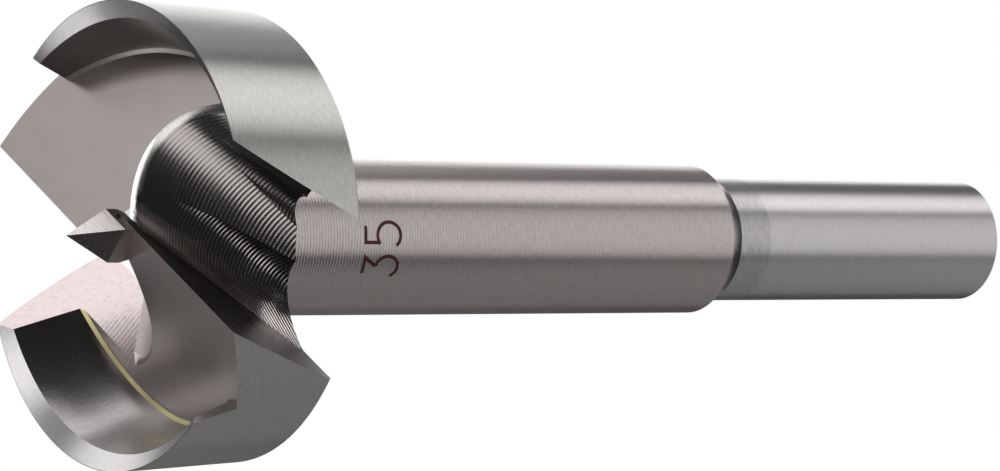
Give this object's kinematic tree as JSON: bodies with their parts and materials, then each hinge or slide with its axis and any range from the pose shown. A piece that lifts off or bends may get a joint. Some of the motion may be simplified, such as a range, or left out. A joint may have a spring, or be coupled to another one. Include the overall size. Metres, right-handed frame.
{
  "type": "forstner bit",
  "caption": "Forstner bit with a round shank and neck, a head with cutting edges, rim spurs and chip flutes, and a pyramid centre point, for boring flat-bottomed holes in wood.",
  "frame": {"origin": "centre of the shank's flat end face, on which the bit stands", "axes": "+Z along the bit's axis from the shank's end to the tip of the centre point; the cutting edges are parallel to X; the bit cuts turning counter-clockwise seen from the point"},
  "size_m": [0.035, 0.035, 0.09],
  "materials": {
    "tool_steel": "turned and ground bare tool steel, satin"
  },
  "bodies": {
    "root": {"bit_body": "tool_steel"}
  },
  "joints": []
}
